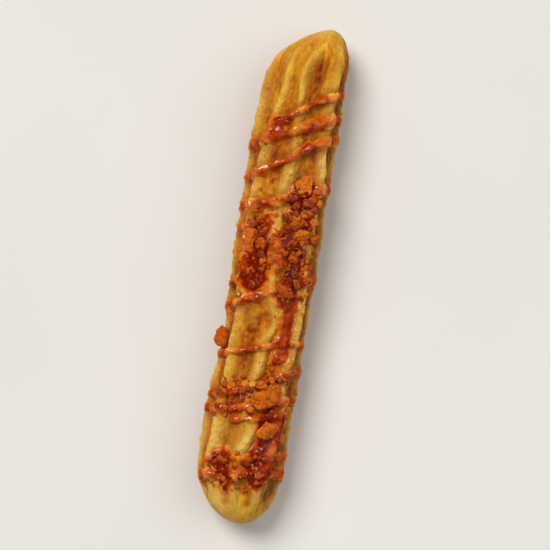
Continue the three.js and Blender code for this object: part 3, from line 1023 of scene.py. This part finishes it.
def caramel_look():
    """Glossy by its coat alone: a light coat with a high IOR shines from above and leaves the edges orange."""
    look = Look("caramel")
    tone = look.plus(look.attribute("thick_light_and_shade"), look.noise(320, 2, 0.5))
    coat = look.ramp(look.noise(420, 2, 0.5), CARAMEL_COAT)
    look.set(
        {
            "Base Color": look.ramp(tone, CARAMEL_RAMP),
            "Roughness": 0.2,
            "Specular IOR Level": 0.0,
            "Coat Weight": look.times(coat, look.attribute("gloss")),
            "Coat IOR": 3.0,
            "Coat Roughness": 0.12,
            "Subsurface Weight": 0.22,
            "Subsurface Radius": (1.0, 0.42, 0.1),
            "Subsurface Scale": 0.0016,
            "Normal": look.bump(look.noise(700, 2, 0.5), 0.35, 0.0003),
        }
    )
    return look.material


def crumb_look():
    look = Look("crumb")
    grain = look.noise(1700, 5, 0.65)
    tone = look.plus(look.times(look.attribute("tone"), 0.55), look.times(grain, 0.6))
    biscuit = look.ramp(tone, CRUMB_RAMP)
    look.set(
        {
            # painted shade in the hollows, and the foot darkened by caramel
            "Base Color": look.mix(look.times(look.attribute("hollow"), SHADE_AND_SOAK_SHARE), biscuit, CRUMB_SHADE_AND_SOAK),
            "Roughness": 0.6,
            "Specular IOR Level": 0.2,
            "Subsurface Weight": 0.1,
            "Subsurface Radius": (1.0, 0.4, 0.1),
            "Subsurface Scale": 0.0008,
            "Normal": look.bump(grain, 0.5, 0.0002),
        }
    )
    return look.material


def glazed_crumb_look():
    look = Look("glazed_crumb")
    grain = look.noise(900, 3, 0.5)
    tone = look.plus(look.times(look.attribute("tone"), 0.5), look.times(grain, 0.6))
    look.set(
        {
            "Base Color": look.ramp(tone, GLAZED_RAMP),
            "Roughness": 0.25,
            "Specular IOR Level": 0.0,
            "Coat Weight": 0.1,
            "Coat IOR": 3.0,
            "Coat Roughness": 0.12,
            "Subsurface Weight": 0.15,
            "Subsurface Radius": (1.0, 0.42, 0.1),
            "Subsurface Scale": 0.0012,
        }
    )
    return look.material


def floor_look():
    look = Look("floor")
    look.set({"Base Color": look.ramp(look.noise(9, 3, 0.5), FLOOR_RAMP), "Roughness": 0.7})
    return look.material


dough.data.materials.append(dough_look())
caramel.data.materials.append(caramel_look())
dry_crumb = crumb_look()
for piece in (crumb_chunks, crumbs, fine_crumbs):
    piece.data.materials.append(dry_crumb)
glazed_crumbs.data.materials.append(glazed_crumb_look())

# --- Stage, light and camera -------------------------------------------------------------------------------------

TILT = math.radians(8.65)  # the churro's upper end leans to the right in the view
# in metres, the sensor in millimetres
FLOOR_SIZE = 4
FLOOR_GAP = 0.00005  # keeps the floor clear of the flat underside
CAMERA_HEIGHT = 0.91
SEEN_HEIGHT = 0.01  # the camera sees a square VIEW_WIDTH wide at this height
VIEW_WIDTH = 0.16
SENSOR_WIDTH = 36
SKY_COLOUR, SKY_STRENGTH = (1.0, 0.97, 0.93), 0.18

bpy.ops.mesh.primitive_plane_add(size=FLOOR_SIZE, location=(0, 0, -FLOOR_GAP))
floor = bpy.context.object
floor.name = "floor"
floor.data.materials.append(floor_look())

world = bpy.data.worlds.new("studio")
world.use_nodes = True
background = world.node_tree.nodes["Background"]
background.inputs["Color"].default_value = (*SKY_COLOUR, 1)
background.inputs["Strength"].default_value = SKY_STRENGTH
bpy.context.scene.world = world


def soft_sun(name, place, width, strength, colour):
    """Even light from far off, width degrees across; place is right, up and towards the camera in the view."""
    data = bpy.data.lights.new(name, "SUN")
    data.angle = math.radians(width)
    data.energy = strength
    data.color = colour
    light = bpy.data.objects.new(name, data)
    spot = Matrix.Rotation(TILT, 3, "Z") @ Vector(place)
    light.location = spot
    light.rotation_euler = (-spot).to_track_quat("-Z", "Y").to_euler()
    bpy.context.collection.objects.link(light)


soft_sun("key", (-0.34, 0.46, 0.8), 30, 2.3, (1.0, 0.97, 0.92))
soft_sun("fill", (0.52, 0.2, 0.72), 60, 0.85, (1.0, 0.98, 0.94))

camera_data = bpy.data.cameras.new("camera")
camera_data.sensor_width = SENSOR_WIDTH
camera_data.lens = SENSOR_WIDTH * (CAMERA_HEIGHT - SEEN_HEIGHT) / VIEW_WIDTH
camera_data.clip_start = 0.01
camera = bpy.data.objects.new("camera", camera_data)
camera.location = (0, 0, CAMERA_HEIGHT)
camera.rotation_euler = (0, 0, TILT)
bpy.context.collection.objects.link(camera)
bpy.context.scene.camera = camera
bpy.context.scene.view_settings.view_transform = "Standard"
